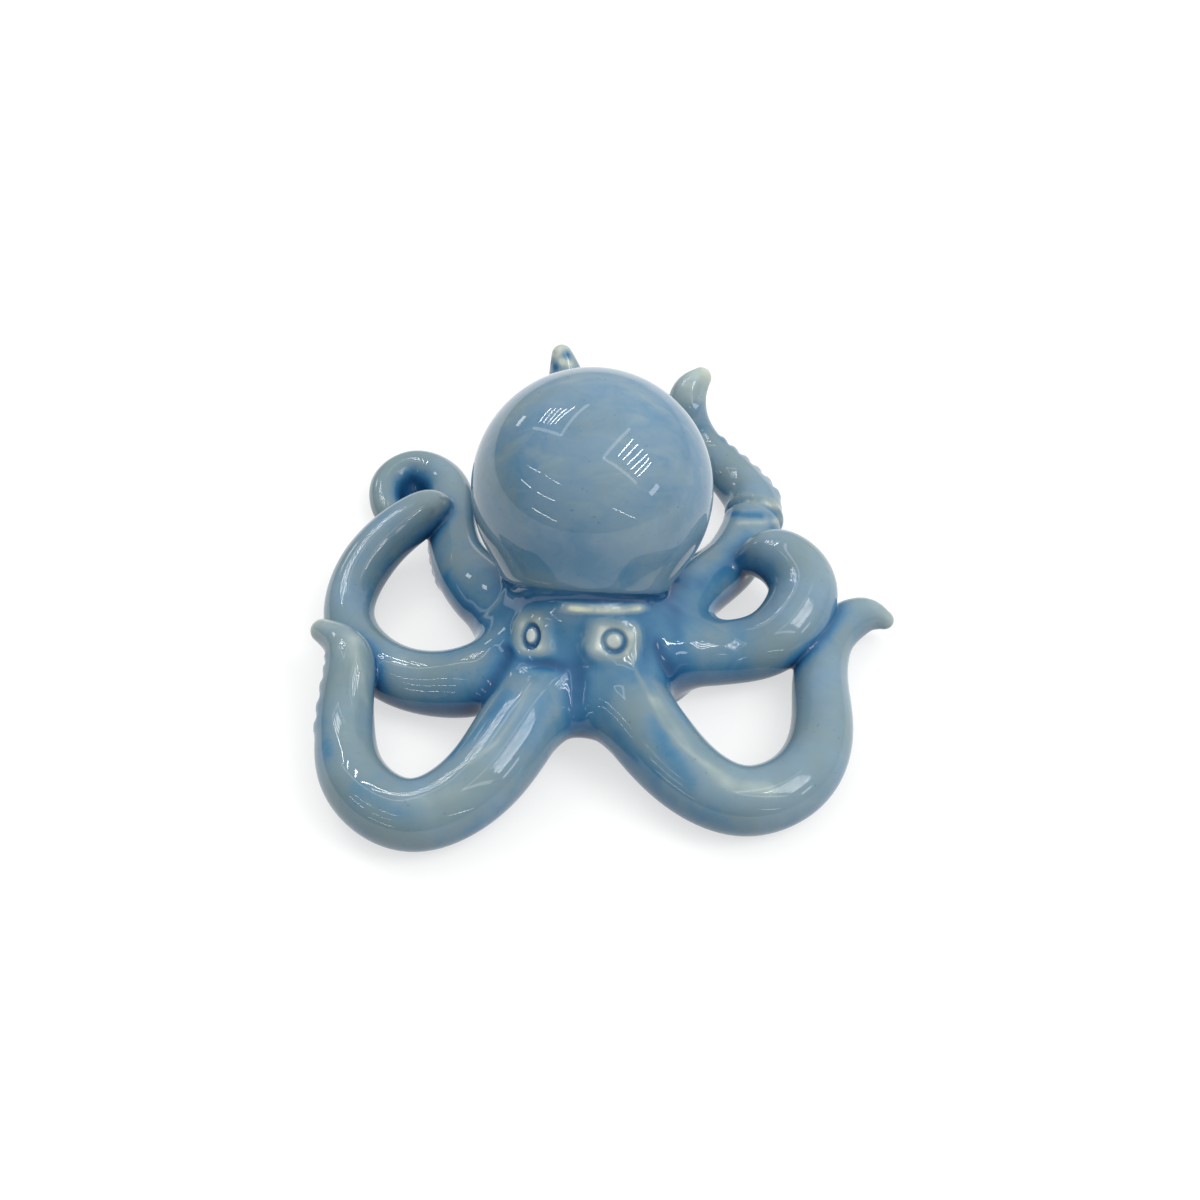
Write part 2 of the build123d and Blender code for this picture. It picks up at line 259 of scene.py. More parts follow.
# Head: a bell through three rings, foot, waist and the tilted neck
bell_rings = [
    (0.0, np.array([*head_middle, 0]), up, 37.0),
    (0.51, np.array([0, -18.5, 17.0]), waist_facing, 29.0),
    (1.0, rim_centre, lean, 23.0),
]
# The bell's wall slopes, so it is nearer than it measures on the level
bell_slope = 0.93


def bell(x, y, z):
    """Distance to the bell, found on the ring of its sweep that passes through each place."""
    def ring(s):
        out = []
        for k in (1, 2, 3):
            value = 0
            for i, here in enumerate(bell_rings):
                weight = 1.0
                for j, other in enumerate(bell_rings):
                    if j != i:
                        weight = weight * (s - other[0]) / (here[0] - other[0])
                value = value + weight * here[k]
            out.append(value)
        return out[0], out[1] / np.linalg.norm(out[1]), out[2]

    shares = np.linspace(-0.1, 1.3, 24)
    centre, facing, radius = ring(shares[0])
    before = run_of((x, y, z), centre, facing)
    distance = np.full(before.shape, FAR, np.float32)
    for share in shares[1:]:
        centre_b, facing_b, radius_b = ring(share)
        after = run_of((x, y, z), centre_b, facing_b)
        inside = (before >= 0) & (after < 0)
        t = before / np.maximum(before - after, 1e-6)
        dx, dy, dz = [v - (c + (cb - c) * t) for v, c, cb in zip((x, y, z), centre, centre_b)]
        found = np.sqrt(dx * dx + dy * dy + dz * dz) - (radius + (radius_b - radius) * t)
        distance = np.where(inside, found * bell_slope, distance)
        centre, facing, radius, before = centre_b, facing_b, radius_b, after
    return distance.astype(np.float32)


part = window([-50, -65, -3], [50, 35, 62])
add_form(part, bell(*places(part)), 1.0, HEAD)


# Arms, each rolled from its route and run into the head at its root. The melt
# is wide near the head and narrows to what two touching arms have
root_blend, touch_blend = 13.0, 1.5
melt_starts, melt_ends = 38.0, 64.0
samples_each = 110
arm_curves = {}
for name, route in routes.items():
    stations = []
    for east, north, lift, girth in route:
        radius = girth * arm_root_radius
        height = lift * arm_rise + radius - foot_flat
        stations.append((east * arm_reach, north * arm_reach, height, radius))
    samples = curve_through(stations, samples_each)
    end = samples[-1, :3] - samples[-2, :3]
    end /= np.linalg.norm(end)
    tip_radius = samples[-1, 3]
    extra = np.linspace(0.25, 1, 4)
    reach_on = max(tip_length - tip_radius * 0.6, 0.3)
    tip = [np.append(samples[-1, :3] + end * reach_on * s, tip_radius * (1 - 0.4 * s * s))
           for s in extra]
    share_scale = samples_each / (samples_each + len(tip))
    rolled = np.vstack([samples, tip])
    arm_curves[name] = samples
    cuts = [stub_ends[name] * share_scale]
    numbers = [HEAD, owners.index(name + "_arm")]
    if name == "rear_right":
        cuts.append(rear_right_seam * share_scale)
        numbers.append(owners.index("rear_right_arm_end"))
    part, distance = roll(rolled[:, :3], rolled[:, 3], root_blend, cuts, numbers)
    x, y, z = places(part)
    away = np.sqrt(x * x + (y - head_middle[1]) ** 2)
    near_head = np.clip((melt_ends - away) / (melt_ends - melt_starts), 0, 1)
    width = touch_blend + (root_blend - touch_blend) * near_head
    add_form(part, distance, width.astype(np.float32))

# Web between the front arms, drawn up in an arch off the table
web = np.array([
    (-15.0, -52.0, 14.0), (-8.0, -53.5, 14.5), (-1.0, -54.0, 14.5), (7.0, -53.5, 14.5),
    (14.0, -52.0, 14.0),
])
web_melt = 12.0
part, distance = roll(web, np.array([6.0, 5.4, 5.2, 5.4, 6.0]), web_melt, (), (HEAD,))
add_form(part, distance, web_melt)


# Mantle: a ball drawn down in a straight flank to its rim
part = window(mantle_centre - 48, mantle_centre + 48)
high, far = off_axis(places(part), mantle_centre, lean)
ball = np.sqrt(high * high + far * far) - mantle_radius
span = math.hypot(rim_radius, neck_drop)
turn = math.atan2(-neck_drop, rim_radius) + math.acos(mantle_radius / span)
flank = far * math.cos(turn) + high * math.sin(turn) - mantle_radius
rim_ease = 2.4
skirt = cut(flank, -high - neck_drop, rim_ease)
mantle_field = np.minimum(ball, cut(skirt, high - mantle_radius * math.sin(turn), 0.5))
add_form(part, mantle_field.astype(np.float32), 2.0, MANTLE)

# A disc of glaze closes the bottom of the curled ring's hole; its dark cobalt is glaze pooled there
# and painted shade of the deep hole
ring_hole_disc = np.array([(-73.0, 65.0, 0.0), (-69.0, 68.5, 0.5), (-64.0, 69.0, 0.5), (-60.0, 66.0, 0.0)])
curled = owners.index("rear_left_arm")
part, distance = roll(ring_hole_disc, np.array([4.0, 4.5, 4.5, 4.0]), 6.0, (), (curled,))
add_form(part, distance, 4.0)

# The wiped foot: everything stands flat on the table
foot_ease = 1.2
for k in range(shape[2]):
    clay[:, :, k] = cut(clay[:, :, k], np.float32(-axes[2][k]), foot_ease)

# The round hole in the foot through which the slip was poured out
drain_radius, drain_depth = 8.0, 10.0
part = window([-12, -27, -4], [12, -3, 16])
x, y, z = places(part)
round_hole = np.hypot(x - head_middle[0], y - head_middle[1]) - drain_radius
bore = np.maximum(round_hole, z - drain_depth)
clay[part] = cut(clay[part], -bore.astype(np.float32), 0.8)


# Where the eye looks from: the camera, and the skin that it sees in a given direction
look_at = np.array([4.0, 0.0, 10.0])
slant = math.sin(math.radians(45))
look_back = np.array([0.0, -slant, slant])
look_up = np.array([0.0, slant, slant])
look_far = 470.0
# The picture's width and the lens's length, both in the picture's points
picture_wide, look_long = 1200, 1349
# Between these distances, and at this step, a sight line is searched for the skin
sight_starts, sight_ends, sight_step = 330, 560, 0.25


def sample(field, points):
    """The field's value at any points, between its cells."""
    where = (points - block_low) / cell
    base = np.clip(np.floor(where).astype(int), 0, np.array(shape) - 2)
    t = where - base
    value = 0
    for i in (0, 1):
        for j in (0, 1):
            for k in (0, 1):
                weight = np.where(i, t[:, 0], 1 - t[:, 0]) * np.where(j, t[:, 1], 1 - t[:, 1])
                weight = weight * np.where(k, t[:, 2], 1 - t[:, 2])
                value = value + weight * field[base[:, 0] + i, base[:, 1] + j, base[:, 2] + k]
    return value


def facing_at(at, step):
    """Which way the skin faces at a place."""
    ends = np.array([at + s * step * np.eye(3)[k] for k in range(3) for s in (1, -1)])
    values = sample(clay, ends)
    slope = values[0::2] - values[1::2]
    return slope / np.linalg.norm(slope)


def sight_line(across, down):
    """The way the camera looks through a point of the picture."""
    middle = picture_wide / 2
    ray = np.array([across - middle, 0, 0]) - look_up * (down - middle) - look_back * look_long
    return ray / np.linalg.norm(ray)


def seen_at(across, down):
    """The place on the skin seen at a point of the picture, and which way it faces."""
    run = np.arange(sight_starts, sight_ends, sight_step)
    line = look_at + look_back * look_far + run[:, None] * sight_line(across, down)
    depth = sample(clay, line)
    at = line[np.argmax(depth < 0) if depth.min() < 0 else np.argmin(depth)]
    return at, facing_at(at, 1.8)


def local(where, at, facing, tilt=0.0):
    """Places measured from a spot on the skin: across it, up it, and out of it."""
    side = np.cross(look_up, facing)
    side /= np.linalg.norm(side)
    rise = np.cross(facing, side)
    c, s = math.cos(tilt), math.sin(tilt)
    side, rise = side * c + rise * s, rise * c - side * s
    return [run_of(where, at, way) for way in (side, rise, facing)]


def pad_edge(u, v, half_u, half_v):
    """Distance to a flat pad with round corners, under zero inside it."""
    over_u, over_v = np.abs(u) - (half_u - eye_corner), np.abs(v) - (half_v - eye_corner)
    outside = np.sqrt(np.maximum(over_u, 0) ** 2 + np.maximum(over_v, 0) ** 2)
    return outside + np.minimum(np.maximum(over_u, over_v), 0) - eye_corner


def drawn(line, lift=0.0):
    """A line drawn over the picture and laid on the skin, lifted off it by so many millimetres."""
    line = np.array(line, float)
    laid = []
    for s in np.linspace(0, len(line) - 1, 4 * len(line) - 3):
        i = min(int(s), len(line) - 2)
        at, facing = seen_at(*(line[i] + (line[i + 1] - line[i]) * (s - i)))
        laid.append(at + facing * lift)
    return np.array(laid)


def swelling(count, girth):
    """Radii that run from thin ends to the full girth."""
    return girth * (0.35 + 0.65 * np.sqrt(np.sin(np.pi * np.linspace(0.04, 0.96, count))))


# Creases pressed with a tool while the clay was soft: the line over the picture,
# the tool's radius, and how far off the skin it ran
creases = [
    ([(504, 648), (516, 656), (532, 661), (548, 664), (562, 668)], 2.4, 1.8),
    ([(576, 662), (577, 680), (576, 700), (578, 726)], 4.6, 3.9),
    ([(509, 655), (502, 668), (492, 684), (484, 698)], 3.2, 2.6),
    ([(657, 644), (662, 656), (668, 668), (672, 676)], 3.2, 2.6),
    ([(518, 598), (545, 600), (580, 601), (620, 601), (650, 598)], 2.6, 2.3),
    ([(706, 377), (702, 386), (698, 396), (696, 406)], 3.2, 2.4),
]
for line, tool, lift in creases:
    laid = drawn(line, lift)
    part, distance = roll(laid, swelling(len(laid), tool), 4.0)
    clay[part] = cut(clay[part], -distance, 1.8)

# Mould lines left standing where the halves of the mould met: the line, its girth,
# and how far it is sunk in the skin
mould_lines = [
    ([(631, 662), (646, 690), (662, 722), (680, 745), (704, 764), (730, 778)], 0.5, 0.30),
    ([(528, 690), (515, 716), (497, 742), (470, 764), (440, 776)], 0.5, 0.34),
    ([(506, 586), (500, 600), (490, 612), (476, 622)], 0.7, 0.25),
    ([(549, 752), (557, 741), (568, 733), (581, 730), (594, 733), (606, 742), (616, 754)],
     0.8, 0.3),
]
for line, girth, sunk in mould_lines:
    laid = drawn(line, -sunk)
    part, distance = roll(laid, swelling(len(laid), girth), 2.0)
    clay[part] = melt(clay[part], distance, 0.7)

# Eyes: a soft raised pad, a ring pressed into it, and a blob of clay in the ring
eye_forms = [
    # name, place on the picture, tilt, half sizes of the pad, radii of the ring, and how
    # much more glaze lay in the ring and less on the blob
    ("left_eye", (532.5, 636.5), 0.16, (5.8, 7.4), (2.5, 3.5), (0.7, 0.12)),
    ("right_eye", (613.5, 641.5), -0.2, (8.2, 6.4), (3.4, 3.2), (0.42, 0.06)),
]
eye_corner, pad_thick, pad_melt = 3.6, 0.7, 3.6
ring_lift, ring_wire = 1.0, 0.95
blob_share, blob_slope, blob_proud = 0.62, 1.9, 2.4
eye_places = []
for name, seen, tilt, (pad_x, pad_y), (ring_x, ring_y), glazed in eye_forms:
    at, facing = seen_at(*seen)
    part = window(at - 16, at + 16)
    u, v, w = local(places(part), at, facing, tilt)
    flat = pad_edge(u, v, pad_x, pad_y)
    pad = cut(flat, np.abs(w) - pad_thick, 2.0).astype(np.float32)
    clay[part] = melt(clay[part], pad, pad_melt)
    inside = (flat < 0.9) & (np.abs(w) < 4)
    claim(part, np.where(inside, -FAR, FAR).astype(np.float32), owners.index(name))
    ring = np.sqrt((u / ring_x) ** 2 + (v / ring_y) ** 2)
    scale = (ring_x + ring_y) / 2
    groove = np.sqrt(((ring - 1) * scale) ** 2 + (w - ring_lift) ** 2) - ring_wire
    clay[part] = cut(clay[part], -groove.astype(np.float32), 0.5)
    blob = np.sqrt((u / ring_x) ** 2 + (v / ring_y) ** 2 + ((w + 0.5) / blob_proud) ** 2)
    clay[part] = melt(clay[part], ((blob - blob_share) * blob_slope).astype(np.float32), 0.6)
    eye_places.append((at, facing, tilt, (pad_x, pad_y), (ring_x, ring_y), glazed))

# Brow: a thin coil pressed on under the rim
brow_line = drawn([
    (559, 606.0), (574, 607.5), (590, 608.5), (606, 609.0), (622, 609.0), (636, 608.0),
    (647, 606.5),
], -0.2)
part, distance = roll(brow_line, swelling(len(brow_line), 1.35), 4.0)
clay[part] = melt(clay[part], distance, 0.8)
claim(part, np.where(distance < 1.0, -FAR, FAR).astype(np.float32), owners.index("brow"))


# Suckers: small buttons of clay in a row down the outer side of an arm
sucker_places = []


def suckers(name, first, last, number, toward, wide, proud):
    """A row of suckers between two shares of an arm's length, on the side toward a direction."""
    curve = arm_curves[name]
    for share in np.linspace(first, last, number):
        i = int(share * (len(curve) - 2))
        centre, radius = curve[i, :3], curve[i, 3]
        run = curve[i + 1, :3] - centre
        run /= np.linalg.norm(run)
        out = np.asarray(toward, float)
        out = out - run * (out @ run)
        out /= np.linalg.norm(out)
        at = centre + out * radius
        part = window(at - 6, at + 6)
        w, far = off_axis(places(part), at, out)
        size = wide * (1.15 - 0.4 * (share - first) / max(last - first, 0.01))
        button = np.sqrt((far / size) ** 2 + (w / proud) ** 2)
        button = ((button - 1) * proud * 0.9).astype(np.float32)
        clay[part] = melt(clay[part], button, 0.8)
        dimple = np.sqrt(far * far + (w - proud - 0.5) ** 2) - 0.95
        clay[part] = cut(clay[part], -dimple.astype(np.float32), 0.5)
        sucker_places.append((at, size))


suckers("rear_right", 0.62, 0.80, 6, (1.0, 0.15, 0.35), 2.3, 1.0)
suckers("rear_right", 0.42, 0.52, 2, (1.0, -0.2, 0.6), 2.6, 1.1)
suckers("front_left", 0.78, 0.93, 5, (-1.0, 0.0, 0.12), 2.0, 0.8)
suckers("back_left", 0.80, 0.97, 4, (0.45, -1.0, 0.3), 1.7, 0.9)
suckers("back_left", 0.79, 0.96, 4, (-0.55, -1.0, 0.3), 1.7, 0.9)
suckers("rear_left", 0.34, 0.60, 8, (-0.8, 0.0, -0.35), 2.3, 0.8)
suckers("back_right", 0.40, 0.72, 9, (1.0, 0.6, -0.1), 2.3, 0.8)
suckers("back_left", 0.42, 0.72, 9, (-1.0, 0.4, -0.1), 2.3, 0.8)

# Luting seam round the rear right arm: a pressed groove between two ridges of slip
curve = arm_curves["rear_right"]
i = int(rear_right_seam * (len(curve) - 1))
seam_at, seam_radius = curve[i, :3], curve[i, 3]
seam_run = curve[i + 1, :3] - curve[i - 1, :3]
seam_run /= np.linalg.norm(seam_run)
part = window(seam_at - 20, seam_at + 20)
x, y, z = places(part)
along, out = off_axis((x, y, z), seam_at, seam_run)
wander = 0.5 * np.sin(np.arctan2(y - seam_at[1], x - seam_at[0]) * 3.0)
groove = np.exp(-(((along - wander) / 1.0) ** 2))
ridge = np.exp(-(((along - wander - 2.6) / 1.2) ** 2))
ridge = ridge + 0.5 * np.exp(-(((along - wander + 2.4) / 1.1) ** 2))
near = np.clip((seam_radius + 6 - out) / 3, 0, 1)
groove_deep, ridge_high = 0.9, 0.6
clay[part] += ((groove_deep * groove - ridge_high * ridge) * near).astype(np.float32)


# Finished surface: one point in each cell that the skin passes through

def skin_of(field):
    """Points and four-sided faces of the skin, in millimetres."""
    solid = field < 0
    corner = [solid[i:shape[0] - 1 + i, j:shape[1] - 1 + j, k:shape[2] - 1 + k]
              for i in (0, 1) for j in (0, 1) for k in (0, 1)]
    some = corner[0].copy()
    every = corner[0].copy()
    for c in corner[1:]:
        some |= c
        every &= c
    crossed = np.argwhere(some & ~every)
    index = np.full(some.shape, -1, np.int32)
    index[tuple(crossed.T)] = np.arange(len(crossed))
    total = np.zeros((len(crossed), 3))
    hits = np.zeros(len(crossed))
    offsets = [(i, j, k) for i in (0, 1) for j in (0, 1) for k in (0, 1)]
    values = [field[tuple((crossed + o).T)] for o in offsets]
    for a, first in enumerate(offsets):
        for b, second in enumerate(offsets):
            if b <= a or sum(abs(p - q) for p, q in zip(first, second)) != 1:
                continue
            va, vb = values[a], values[b]
            apart = (va < 0) != (vb < 0)
            t = np.where(apart, va / np.where(apart, va - vb, 1), 0)
            here = np.array(first) + t[:, None] * (np.array(second) - np.array(first))
            total += np.where(apart[:, None], here, 0)
            hits += apart
    points = (crossed + total / hits[:, None]) * cell + block_low
    faces = []
    for axis in range(3):
        one, two = [k for k in range(3) if k != axis]
        head_slice = [slice(None)] * 3
        tail_slice = [slice(None)] * 3
        head_slice[axis], tail_slice[axis] = slice(0, -1), slice(1, None)
        change = solid[tuple(head_slice)] != solid[tuple(tail_slice)]
        at = np.argwhere(change)
        ring = []
        for p, q in ((-1, -1), (0, -1), (0, 0), (-1, 0)):
            spot = at.copy()
            spot[:, one] += p
            spot[:, two] += q
            ring.append(index[tuple(spot.T)])
        quad = np.stack(ring, axis=1)
        outward = solid[tuple(at.T)]
        if axis == 1:
            outward = ~outward
        quad[~outward] = quad[~outward][:, ::-1]
        faces.append(quad)
    return points, np.concatenate(faces)


def soften(field, reach):
    """The field with each cell averaged over a round neighbourhood of that reach in millimetres."""
    sigma = reach / cell
    size = int(math.ceil(sigma * 2.5))
    weights = np.exp(-0.5 * (np.arange(-size, size + 1) / sigma) ** 2)
    weights /= weights.sum()
    for axis in range(3):
        padding = [(0, 0)] * 3
        padding[axis] = (size, size)
        wide = np.pad(field, padding, mode="edge")
        out = np.zeros_like(field)
        for i, w in enumerate(weights):
            cut_out = [slice(None)] * 3
            cut_out[axis] = slice(i, i + field.shape[axis])
            out += np.float32(w) * wide[tuple(cut_out)]
        field = out
    return field


points, faces = skin_of(clay)
smoothed = soften(clay, 0.7)
facing = np.stack([sample(np.gradient(smoothed, axis=k), points) for k in range(3)], axis=1)
facing /= np.maximum(np.linalg.norm(facing, axis=1)[:, None], 1e-9)

# How hollow or proud the skin is: where glaze runs together and where it thins
filled = np.clip(0.5 - clay / (2 * cell), 0, 1).astype(np.float32)
hollow_fine = sample(soften(filled, 1.6), points) - 0.5
hollow_wide = sample(soften(filled, 4.5), points) - 0.5
lay_with_painted_light = hollow_wide + np.where(hollow_fine > 0, 0.9, 0.25) * hollow_fine


def bump_of(distance, wide):
    """One at nought distance, falling softly to nothing."""
    return np.exp(-((distance / wide) ** 2))


def off_line(line):
    """Each skin point's distance to a laid line, where it is within reach of it."""
    found = np.full(len(points), FAR)
    near = np.all((points > line.min(0) - 6) & (points < line.max(0) + 6), axis=1)
    close = points[near]
    best = np.full(len(close), FAR)
    for a, b in zip(line[:-1], line[1:]):
        run = b - a
        t = np.clip((close - a) @ run / max(run @ run, 1e-9), 0, 1)
        best = np.minimum(best, np.linalg.norm(close - a - t[:, None] * run, axis=1))
    found[near] = best
    return found


def off_spot(at):
    """Each skin point's distance to a spot."""
    return np.linalg.norm(points - at, axis=1)


# How thick the glaze lay, with painted shade and painted highlights added below: more of
# it in hollows, toward the head and in the tool marks, less on what stands proud
out_from_head = np.hypot(points[:, 0] - head_middle[0], points[:, 1] - head_middle[1])
low = np.clip((40 - points[:, 2]) / 10, 0, 1)
lay_with_painted_light += 0.07 * np.clip((66 - out_from_head) / 34, 0, 1) * low
# Painted shade: the rear arms, in the mantle's shadow, are darkened
lay_with_painted_light += 0.03 * np.clip((points[:, 1] - 5) / 20, 0, 1) * low
# On the arms it ran off the tops and down the sides; sides and undersides also get painted shade
lay_with_painted_light += 0.15 * np.clip(0.72 - facing[:, 2], 0, 1) * low
for line, tool, _ in creases:
    lay_with_painted_light += 0.15 * bump_of(off_line(drawn(line)), tool)
# A mould line shows paler, and fades in over 20 mm from its outer end
for line, _, _ in mould_lines:
    laid = drawn(line)
    lay_with_painted_light -= 0.1 * bump_of(off_line(laid), 0.8) * np.clip(off_spot(laid[-1]) / 20, 0, 1)
# Eye pads were wiped thin; glaze stands in their rings, deeper at the lower side
for at, out, tilt, (pad_x, pad_y), (ring_x, ring_y), (ring_deep, blob_pale) in eye_places:
    u, v, w = local(points.T, at, out, tilt)
    on_pad = np.clip(-(pad_edge(u, v, pad_x, pad_y) - 0.5) / 4.2, 0, 1) * (np.abs(w) < 4)
    ring = np.sqrt((u / ring_x) ** 2 + (v / ring_y) ** 2)
    low_side = 0.75 + 0.25 * np.clip((u - v) / 3, -1, 1)
    in_ring = ring_deep * low_side * bump_of((ring - 1) * (ring_x + ring_y) / 2, ring_wire)
    lay_with_painted_light += on_pad * (-0.42 + in_ring - blob_pale * bump_of(ring, 0.5))
brow_ends = np.minimum(off_spot(brow_line[0]), off_spot(brow_line[-1]))
on_brow = np.clip(1.25 - off_line(brow_line) / 1.7, 0, 1)
lay_with_painted_light -= 0.62 * on_brow * np.clip((brow_ends - 0.6) / 3.5, 0, 1)
# A sucker is pale on top, with deeper glaze round its foot
for at, size in sucker_places:
    near = off_spot(at)
    lay_with_painted_light += 0.26 * bump_of(near, size * 1.7) - 0.42 * bump_of(near, size * 0.95)
# The tip behind the crown is mottled, white where its suckers stand and cobalt
# between them: the spot on the picture, its size, and how much more glaze lay there
mottles = [
    (556, 352, 1.5, -0.3), (551, 362, 1.7, 0.5), (567, 355, 1.5, 0.5), (556, 367, 1.8, 0.42),
    (562, 362, 1.4, -0.3), (570, 364, 1.4, -0.22),
]
for across, down, size, much in mottles:
    lay_with_painted_light += much * bump_of(off_spot(seen_at(across, down)[0]), size)
# Runs of glaze along the arms, among them painted shade and painted highlights: the line, how much
# more or less of it lay there, and how wide
glaze_runs_and_painted_light = [
    ([(505, 695), (486, 722), (453, 754)], 0.14, 3.0),
    ([(545, 700), (528, 732), (500, 765)], 0.08, 3.0),
    ([(355, 787), (380, 804), (407, 816)], 0.10, 3.5),
    ([(319, 695), (323, 724), (329, 754)], 0.12, 3.0),
    ([(655, 722), (668, 752), (690, 782)], 0.09, 3.0),
    ([(600, 700), (622, 740), (655, 778)], 0.08, 3.0),
    ([(695, 813), (720, 823), (747, 829)], 0.04, 3.0),
    ([(675, 611), (677, 640), (684, 669)], 0.12, 3.0),
    # Painted shade along the mid-left arm's lower edge, where it meets the front-left arm
    ([(381, 705), (425, 710), (470, 709)], 0.22, 3.0),
    # Painted shade under the rear-left arm
    ([(447, 578), (460, 600), (479, 617)], 0.14, 4.0),
    # Painted shade between the mantle and the mid-right arm
    ([(702, 584), (718, 574), (742, 556)], 0.14, 3.0),
    ([(724, 513), (742, 515), (760, 516)], 0.24, 1.8),
    # Painted highlight along the bend of the front-right arm
    ([(655, 700), (690, 750), (730, 785), (770, 790)], -0.17, 2.5),
    ([(460, 790), (430, 800), (400, 796)], -0.08, 2.5),
    ([(400, 660), (440, 668), (478, 655)], -0.08, 3.0),
    ([(747, 502), (764, 503), (780, 507)], -0.26, 1.5),
    ([(740, 523), (762, 522), (786, 519)], -0.20, 1.5),
    ([(352, 640), (361, 672), (366, 700)], -0.10, 2.0),
    # Painted highlight down the horn, for the window streaks on it
    ([(706, 377), (702, 386), (698, 396)], -0.24, 3.0),
]
for line, much, wide in glaze_runs_and_painted_light:
    lay_with_painted_light += much * bump_of(off_line(drawn(line)), wide)
# Inside the curled ring the glaze stood deep, and the hole is darkened further as painted shade
curl_middle = (-67.1, 59.2)
off_curl = np.hypot(points[:, 0] - curl_middle[0], points[:, 1] - curl_middle[1])
lay_with_painted_light += 0.5 * bump_of(off_curl, 6.5) * np.clip((17 - points[:, 2]) / 6, 0, 1)

# Each face takes its piece from the cell at its middle. Islands of fewer faces than
# this, counted at the fine cell, are specks
speck_faces = 400
middle = points[faces].mean(axis=1)
spot = np.clip(np.round((middle - block_low) / cell).astype(int), 0, np.array(shape) - 1)


def settled(owned):
    """Each face's piece, once specks and pinched corners have gone to the piece around them."""
    onward = np.roll(faces, -1, axis=1)
    sides = np.sort(np.stack([faces, onward], axis=2).reshape(-1, 2), axis=1)
    order = np.lexsort((sides[:, 1], sides[:, 0]))
    sides = sides[order]
    paired = np.flatnonzero((sides[1:] == sides[:-1]).all(axis=1))
    a, b = order[paired], order[paired + 1]
    beside = np.repeat(np.arange(len(faces)), 4)
    beside[a], beside[b] = b // 4, a // 4
    beside = beside.reshape(-1, 4)
    for _ in range(8):
        around = owned[beside]
        loose = (around == owned[:, None]).sum(axis=1) < 2
        votes = (around[:, :, None] == around[:, None, :]).sum(axis=2)
        owned = np.where(loose, around[np.arange(len(faces)), votes.argmax(axis=1)], owned)
        for number in range(len(owners)):
            edge = (owned == number)[:, None] & (owned[beside] != number)
            ends = np.concatenate([faces[edge], onward[edge]])
            pinched = np.bincount(ends, minlength=len(points)) > 2
            owned = np.where(pinched[faces].any(axis=1), number, owned)
    island = np.arange(len(faces))
    joined = owned[beside] == owned[:, None]
    while True:
        least = np.minimum(np.where(joined, island[beside], island[:, None]).min(axis=1), island)
        least = least[least]
        if (least == island).all():
            break
        island = least
    size = np.bincount(island, minlength=len(faces))[island]
    stays = size > speck_faces * (fine_cell / cell) ** 2
    for number in range(len(owners)):
        mine = np.flatnonzero(owned == number)
        if len(mine):
            stays[mine[size[mine] == size[mine].max()]] = True
    owned = np.where(stays, owned, -1)
    while True:
        grown = np.where(owned < 0, owned[beside].max(axis=1), owned)
        if (grown == owned).all():
            return owned
        owned = grown


face_owner = settled(owner[tuple(spot.T)].astype(int))

# Where a piece meets its neighbours, its rim turns in this deep and its lid sinks to
# this depth, so that neither comes through the skin
rim_depth, lid_depth = 1.5, 2.5


def finished_piece(number, name):
    """One piece of the skin, closed where it meets its neighbours."""
    mine = faces[face_owner == number]
    used, compact = np.unique(mine, return_inverse=True)
    compact = compact.reshape(mine.shape)
    place = (points[used] + table_middle) * MM
    mesh = bpy.data.meshes.new(name + "_skin")
    mesh.from_pydata(place.tolist(), [], compact.tolist())
    # The glaze lay goes on the points together with its painted shade and painted highlights
    layer = mesh.attributes.new("glaze_lay_with_painted_light", "FLOAT", "POINT")
    layer.data.foreach_set("value", lay_with_painted_light[used].astype(np.float32))
    normal_layer = mesh.attributes.new("true_facing", "FLOAT_VECTOR", "POINT")
    normal_layer.data.foreach_set("vector", facing[used].astype(np.float32).ravel())
    shell = bmesh.new()
    shell.from_mesh(mesh)
    inward = shell.verts.layers.float_vector["true_facing"]
    edges = [e for e in shell.edges if e.is_boundary]
    turned = bmesh.ops.extrude_edge_only(shell, edges=edges)["geom"]
    rim = [g for g in turned if isinstance(g, bmesh.types.BMVert)]
    for v in rim:
        v.co -= v[inward] * rim_depth * MM
    edges = [g for g in turned if isinstance(g, bmesh.types.BMEdge) and g.is_boundary]
    capped = bmesh.ops.holes_fill(shell, edges=edges, sides=0)
    for lid in list(capped["faces"]):
        lean_out = sum((v[inward] for v in lid.verts), Vector()) / len(lid.verts)
        for v in bmesh.ops.poke(shell, faces=[lid])["verts"]:
            v.co -= lean_out * lid_depth * MM
            v[inward] = Vector()
    for v in rim:
        v[inward] = Vector()
    bmesh.ops.recalc_face_normals(shell, faces=shell.faces[:])
    shell.to_mesh(mesh)
    shell.free()
    mesh.shade_smooth()
    normals = np.zeros(len(mesh.vertices) * 3, np.float32)
    mesh.attributes["true_facing"].data.foreach_get("vector", normals)
    normals = normals.reshape(-1, 3)
    blank = np.linalg.norm(normals, axis=1) < 0.5
    plain = np.zeros(len(mesh.vertices) * 3, np.float32)
    mesh.vertices.foreach_get("normal", plain)
    normals[blank] = plain.reshape(-1, 3)[blank]
    mesh.attributes.remove(mesh.attributes["true_facing"])
    mesh.normals_split_custom_set_from_vertices(normals.tolist())
    piece = bpy.data.objects.new(name + "_glazed", mesh)
    bpy.context.scene.collection.objects.link(piece)
    return piece


# Materials

def linear(code):
    """An sRGB hex colour as linear light."""
    parts = [int(code[i:i + 2], 16) / 255 for i in (1, 3, 5)]
    return [c / 12.92 if c <= 0.04045 else ((c + 0.055) / 1.055) ** 2.4 for c in parts] + [1.0]


